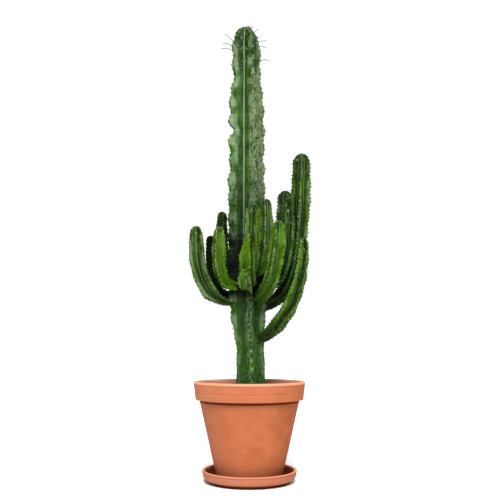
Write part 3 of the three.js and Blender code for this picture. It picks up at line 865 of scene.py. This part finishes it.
def threads_tree():
    """Thread-thin leaves on some of the teeth between two distances from the root, more at the right."""
    nodes, given = new_tree("thread_leaves", {**STEM_SIZES, **THREAD_SIZES})
    points = tooth_points(nodes, given, given["First"], given["Last"])
    side = nodes.add("GeometryNodeInputPosition").axes()[0]
    dropped = side.math("GREATER_THAN", chance(nodes, 0.0, 1.0, seed=12) - side * 9.0, given["Kept"])
    points = nodes.add("GeometryNodeDeleteGeometry", {"Geometry": points, "Selection": dropped})
    long = given["Thread"]
    bow = nodes.add(
        "GeometryNodeCurveQuadraticBezier",
        {
            "Resolution": 8,
            "Start": arrow(nodes, z=long * -0.08),
            "Middle": arrow(nodes, y=long * 0.12, z=long * 0.6),
            "End": arrow(nodes, y=long * -0.06, z=long),
        },
    )
    thinning = 1.0 - nodes.add("GeometryNodeSplineParameter") * 0.6
    bow = nodes.add("GeometryNodeSetCurveRadius", {"Curve": bow, "Radius": thinning})
    section = nodes.add("GeometryNodeCurvePrimitiveCircle", {"Resolution": 5, "Radius": given["Thickness"]})
    sweep = {"Curve": bow, "Profile Curve": section, "Fill Caps": True}
    thread = nodes.add("GeometryNodeCurveToMesh", sweep)
    strayed = chance(nodes, (-0.5, -0.3, -0.5), (0.15, 0.3, 0.5), seed=31)
    turning = {"Rotation": stored(nodes, "turned", "QUATERNION"), "Rotate By": strayed}
    turned = nodes.add("FunctionNodeRotateRotation", turning, rotation_space="LOCAL")
    size = chance(nodes, (1, 0.5, 0.7), (1, 1.6, 1.1), seed=33)
    placing = {"Points": points, "Instance": thread, "Rotation": turned, "Scale": size}
    placed = nodes.add("GeometryNodeInstanceOnPoints", placing)
    smooth = nodes.add("GeometryNodeSetShadeSmooth", {"Geometry": placed})
    return close_tree(nodes, smooth, given["Finish"])


thread_leaves = threads_tree()
TRUNK_THREADS = {
    "Thread": 0.0245, "Thickness": 0.00052, "First": 0.862, "Last": 0.928, "Kept": 0.6,
    "Finish": thread_finish(),
}
threads_mesh = grown("trunk_thread_leaves", trunk_path(), thread_leaves, {**TRUNK, **TRUNK_THREADS})
new_piece("trunk_thread_leaves", threads_mesh, "trunk_skin")


# The arms are younger stems of the same kind, each a J that grows out of the trunk level and then turns up.
# They are thinner and fresher green, with closer teeth, and their elbows are old and knobbly, painted dark
# as old bark and as shade.
ARMS = {
    "arm_left_outer": {
        "path": [
            (-0.009, 0, 0.373), (-0.102, -0.018, 0.37),
            (-0.117, -0.028, 0.438), (-0.116, -0.025, 0.543),
        ],
        "form": {
            "width": 0.022, "neck": 0.34, "thin": 0.16, "low": 0.98, "knee": 0.36, "top": 0.82,
            "facing": 45,
        },
        "finish": {"Bloom": 0.75, "Soot and shade": 0.4, "Lit side": 0.3},
    },
    "arm_left_back": {
        "path": [
            (-0.008, 0.005, 0.398), (-0.07, 0.038, 0.38),
            (-0.095, 0.048, 0.42), (-0.088, 0.045, 0.533),
        ],
        "form": {"width": 0.012, "neck": 0.6, "low": 0.95, "top": 0.9, "facing": 30},
        # painted shade: Darkness paints this arm, which stands behind the others, nearly black
        "finish": {"Darkness": 1.0},
    },
    "arm_left_front": {
        "path": [
            (-0.008, -0.002, 0.418), (-0.062, -0.012, 0.402),
            (-0.07, -0.036, 0.428), (-0.065, -0.038, 0.54),
        ],
        "form": {"width": 0.0175, "neck": 0.6, "low": 0.85, "top": 0.75, "facing": -27},
        "finish": {"Bloom": 0.25, "Freshness": 1.3, "Soot and shade": 0.1, "Lit side": 0.3},
    },
    "arm_back_left": {
        "path": [
            (-0.006, 0.007, 0.432), (-0.05, 0.035, 0.425),
            (-0.068, 0.042, 0.47), (-0.062, 0.04, 0.588),
        ],
        "form": {"width": 0.0145, "neck": 0.6, "low": 0.95, "top": 0.8, "facing": 20},
        # painted shade: Darkness paints this arm at the back darker
        "finish": {"Darkness": 0.45, "Bloom": 0.3},
    },
    "arm_front_tall": {
        "path": [
            (0, -0.01, 0.434), (0.002, -0.064, 0.426),
            (0.006, -0.071, 0.48), (0.009, -0.068, 0.583),
        ],
        "form": {"width": 0.0205, "neck": 0.55, "low": 0.85, "top": 0.9, "facing": 26},
        "finish": {"Bloom": 0.4, "Freshness": 0.2, "Lit side": 0.3},
    },
    "arm_right_inner": {
        "path": [
            (0.006, -0.002, 0.442), (0.034, -0.015, 0.438),
            (0.045, -0.016, 0.48), (0.037, -0.014, 0.606),
        ],
        "form": {"width": 0.0145, "neck": 0.6, "low": 0.95, "top": 0.78, "facing": 60},
        "finish": {"Bloom": 0.7, "Freshness": 0.2},
    },
    "arm_front_middle": {
        "path": [
            (0, -0.01, 0.41), (-0.001, -0.084, 0.398),
            (-0.01, -0.115, 0.44), (-0.001, -0.108, 0.514),
        ],
        "form": {"width": 0.0175, "neck": 0.65, "low": 1, "top": 0.45, "facing": 22},
        "finish": {"Freshness": 1.5, "Soot and shade": 0.3, "Lit side": -1.0},
    },
    "arm_front_bud": {
        "path": [
            (-0.005, -0.084, 0.412), (-0.008, -0.117, 0.399),
            (-0.013, -0.129, 0.412), (-0.011, -0.127, 0.438),
        ],
        "form": {"width": 0.013, "neck": 0.6, "low": 1, "top": 0.6, "facing": 20},
        "finish": {"Bloom": 0.55, "Freshness": 0.6},
    },
    "arm_right_front": {
        "path": [
            (0.009, -0.006, 0.386), (0.038, -0.046, 0.38),
            (0.061, -0.062, 0.44), (0.062, -0.056, 0.55),
        ],
        "form": {"width": 0.019, "neck": 0.6, "low": 0.9, "top": 0.82, "facing": -24},
        "finish": {"Bloom": 0.55, "Freshness": 0.8, "Soot and shade": 0.35, "Lit side": -0.2},
    },
    "arm_right_middle": {
        "path": [
            (0.008, -0.001, 0.412), (0.06, -0.008, 0.394),
            (0.095, -0.012, 0.45), (0.087, -0.008, 0.585),
        ],
        "form": {"width": 0.0155, "neck": 0.6, "low": 0.95, "top": 0.9, "facing": 38},
        "finish": {"Bloom": 0.4, "Soot and shade": 0.6},
    },
    "arm_back_right": {
        "path": [
            (0.005, 0.007, 0.41), (0.06, 0.052, 0.392),
            (0.082, 0.072, 0.48), (0.084, 0.066, 0.643),
        ],
        "form": {"width": 0.0215, "neck": 0.55, "low": 0.8, "top": 0.82, "facing": 5},
        "finish": {"Bloom": 0.5, "Soot and shade": 0.45},
    },
    "arm_right_tallest": {
        "path": [
            (0.006, 0.005, 0.374), (0.11, 0.034, 0.362),
            (0.112, 0.036, 0.5), (0.1205, 0.03, 0.722),
        ],
        "form": {"width": 0.0235, "neck": 0.62, "low": 0.7, "top": 0.85, "facing": -8},
        "finish": {"Bloom": 0.6, "Soot and shade": 0.55, "Lit side": 0.1},
    },
    "arm_right_low": {
        "path": [
            (0.006, -0.001, 0.294), (0.062, -0.014, 0.303),
            (0.123, -0.018, 0.395), (0.118, -0.015, 0.52),
        ],
        "form": {"width": 0.017, "neck": 0.6, "low": 1.2, "top": 0.8, "facing": 35},
        "finish": {"Bloom": 0.3, "Freshness": 0.5, "Soot and shade": 0.45, "Lit side": 0.8},
    },
}
ARM_WIDEST = {"low": 0.24, "full": 0.72, "top": 0.94}
ARM_DOME = 1.05
ARM_POINTS = 70
ARM_GROOVE = 0.45
ARM = {
    "Columns": 56, "Ring step": 0.0014, "Tooth pitch": 0.0088, "Tooth height": 0.0021,
    "Wave height": 0.04, "Wave length": 0.038, "Sway": 0.05, "Rib edge": 0.085,
    "Smooth foot": -0.1, "Bare stretch": 0.04, "Roughness": 0.1,
    "Darkness": 0.0, "Bloom": 0.0, "Freshness": 0.0, "Soot and shade": 0.0, "Lit side": 0.0,
}
ARM_AREOLES = {"Shield": 0.0008, "Spine": 0.0030, "Bare foot": 0.045, "Finish": horn}


def arm_age(nodes, straight, off, share):
    """An arm is corky at its old elbow, which is painted dark as old bark and as the shade among the arms,
    and its grooves are darker towards the root.
    """
    knobs = straight.grain(0.012, 3)
    elbow = (share.ramp(0.5, 0.12) + knobs * 0.8 - 0.4).ramp(0.25, 0.85) * 0.8
    darker_grooves = off.ramp(0.55, 0.9) * (share + knobs * 0.2 - 0.1).ramp(0.84, 0.6)
    return share.ramp(0.4, 0.15) * 0.35, elbow.math("MAXIMUM", elbow, darker_grooves)


def arm_form(path, width, neck, low, top, facing, thin=0.0, knee=ARM_WIDEST["low"]):
    """The points of an arm's axis, its measures at each, and its level sideways direction.

    width is the rib radius, and neck, low and top are shares of it at the root, lower down and near the
    tip. thin and knee are the shares of the length where the neck ends and where low is reached.
    """
    corners = [Vector(corner) for corner in path]
    points = interpolate_bezier(*corners, ARM_POINTS)
    steps = [(b - a).length for a, b in zip(points, points[1:])]
    shares = np.concatenate([[0], np.cumsum(steps)]) / sum(steps)
    stations = [0, thin, knee, ARM_WIDEST["full"], ARM_WIDEST["top"], 1]
    radii = width * np.interp(shares, stations, [neck, neck, low, 1, top, top])
    reach = (corners[3] - corners[0]) * Vector((1, 1, 0))
    compass = math.atan2(reach.x, -reach.y)
    turn = math.radians(facing) - compass
    form = np.stack([radii, np.full(ARM_POINTS, ARM_GROOVE), np.full(ARM_POINTS, turn)], 1)
    return points, form, Vector((0, 0, 1)).cross(reach.normalized())


arm_skin = skin_finish(
    "arm_skin",
    flank=paint(38, 66, 8),
    fresh=paint(62, 99, 2),
    shade=paint(13, 29, 7),
    crease=paint(128, 150, 88),
    bloom=paint(108, 132, 88),
    cork=paint(60, 62, 38),
    aged=arm_age,
)
for number, (name, arm) in enumerate(ARMS.items(), 1):
    points, form, across = arm_form(arm["path"], **arm["form"])
    path = path_mesh(name, points, form)
    dome = arm["form"]["width"] * ARM_DOME
    sizes = {**ARM, **arm["finish"], "Across": across, "Dome": dome, "Number": float(number)}
    arm_mesh = grown(name + "_ribbed", path, ribbed_stem, {**sizes, "Finish": arm_skin})
    new_piece(name + "_ribbed", arm_mesh, "arm_skin", name)
    spines_mesh = grown(name + "_spines", path, areoles, {**sizes, **ARM_AREOLES})
    new_piece(name + "_spines", spines_mesh, "arm_skin")


# The floor and the backdrop are plain and white, as in a light tent, and fill the shadows a little.
# A broad soft light from the front, high up, models the forms, and a weak one edges them from behind.
FLOOR_HALF = 8.0
KEY = {"from_place": (0.0, -1.3, 1.5), "strength": 4.8, "spread": 24}
BACK = {"from_place": (1.2, 1.6, 1.6), "strength": 0.5, "spread": 40}
SKY = {"seen": 1.0, "light": 0.42}


def floor_finish():
    material, nodes = new_finish("floor")
    place = nodes.add("ShaderNodeTexCoord", output=3)
    tone = place.grain(0.8, 2)
    colour = layer(paint(253, 253, 252), paint(250, 250, 249), tone)
    close_finish(nodes, colour, 0.9 + tone * 0.05, tone, 0.0001)
    return material


def lamp(name, from_place, strength, spread):
    light = bpy.data.lights.new(name, "SUN")
    light.energy, light.angle = strength, math.radians(spread)
    piece = bpy.data.objects.new(name, light)
    piece.location = from_place
    piece.rotation_euler = Vector(from_place).to_track_quat("Z", "Y").to_euler()
    bpy.context.collection.objects.link(piece)


floor_mesh = bpy.data.meshes.new("floor")
floor_corners = [(x * FLOOR_HALF, y * FLOOR_HALF, 0) for x, y in ((-1, -1), (1, -1), (1, 1), (-1, 1))]
floor_mesh.from_pydata(floor_corners, [], [(0, 1, 2, 3)])
floor_mesh.materials.append(floor_finish())
floor = bpy.data.objects.new("floor", floor_mesh)
bpy.context.collection.objects.link(floor)
lamp("key", **KEY)
lamp("back", **BACK)
world = bpy.data.worlds.new("studio")
world.use_nodes = True
world.node_tree.nodes.clear()
sky = Nodes(world.node_tree)
brightness = SKY["light"] + sky.add("ShaderNodeLightPath") * (SKY["seen"] - SKY["light"])
backdrop = sky.add("ShaderNodeBackground", {"Color": (1, 1, 1, 1), "Strength": brightness})
sky.add("ShaderNodeOutputWorld", {"Surface": backdrop})
bpy.context.scene.world = world
bpy.context.scene.view_settings.view_transform = "Standard"
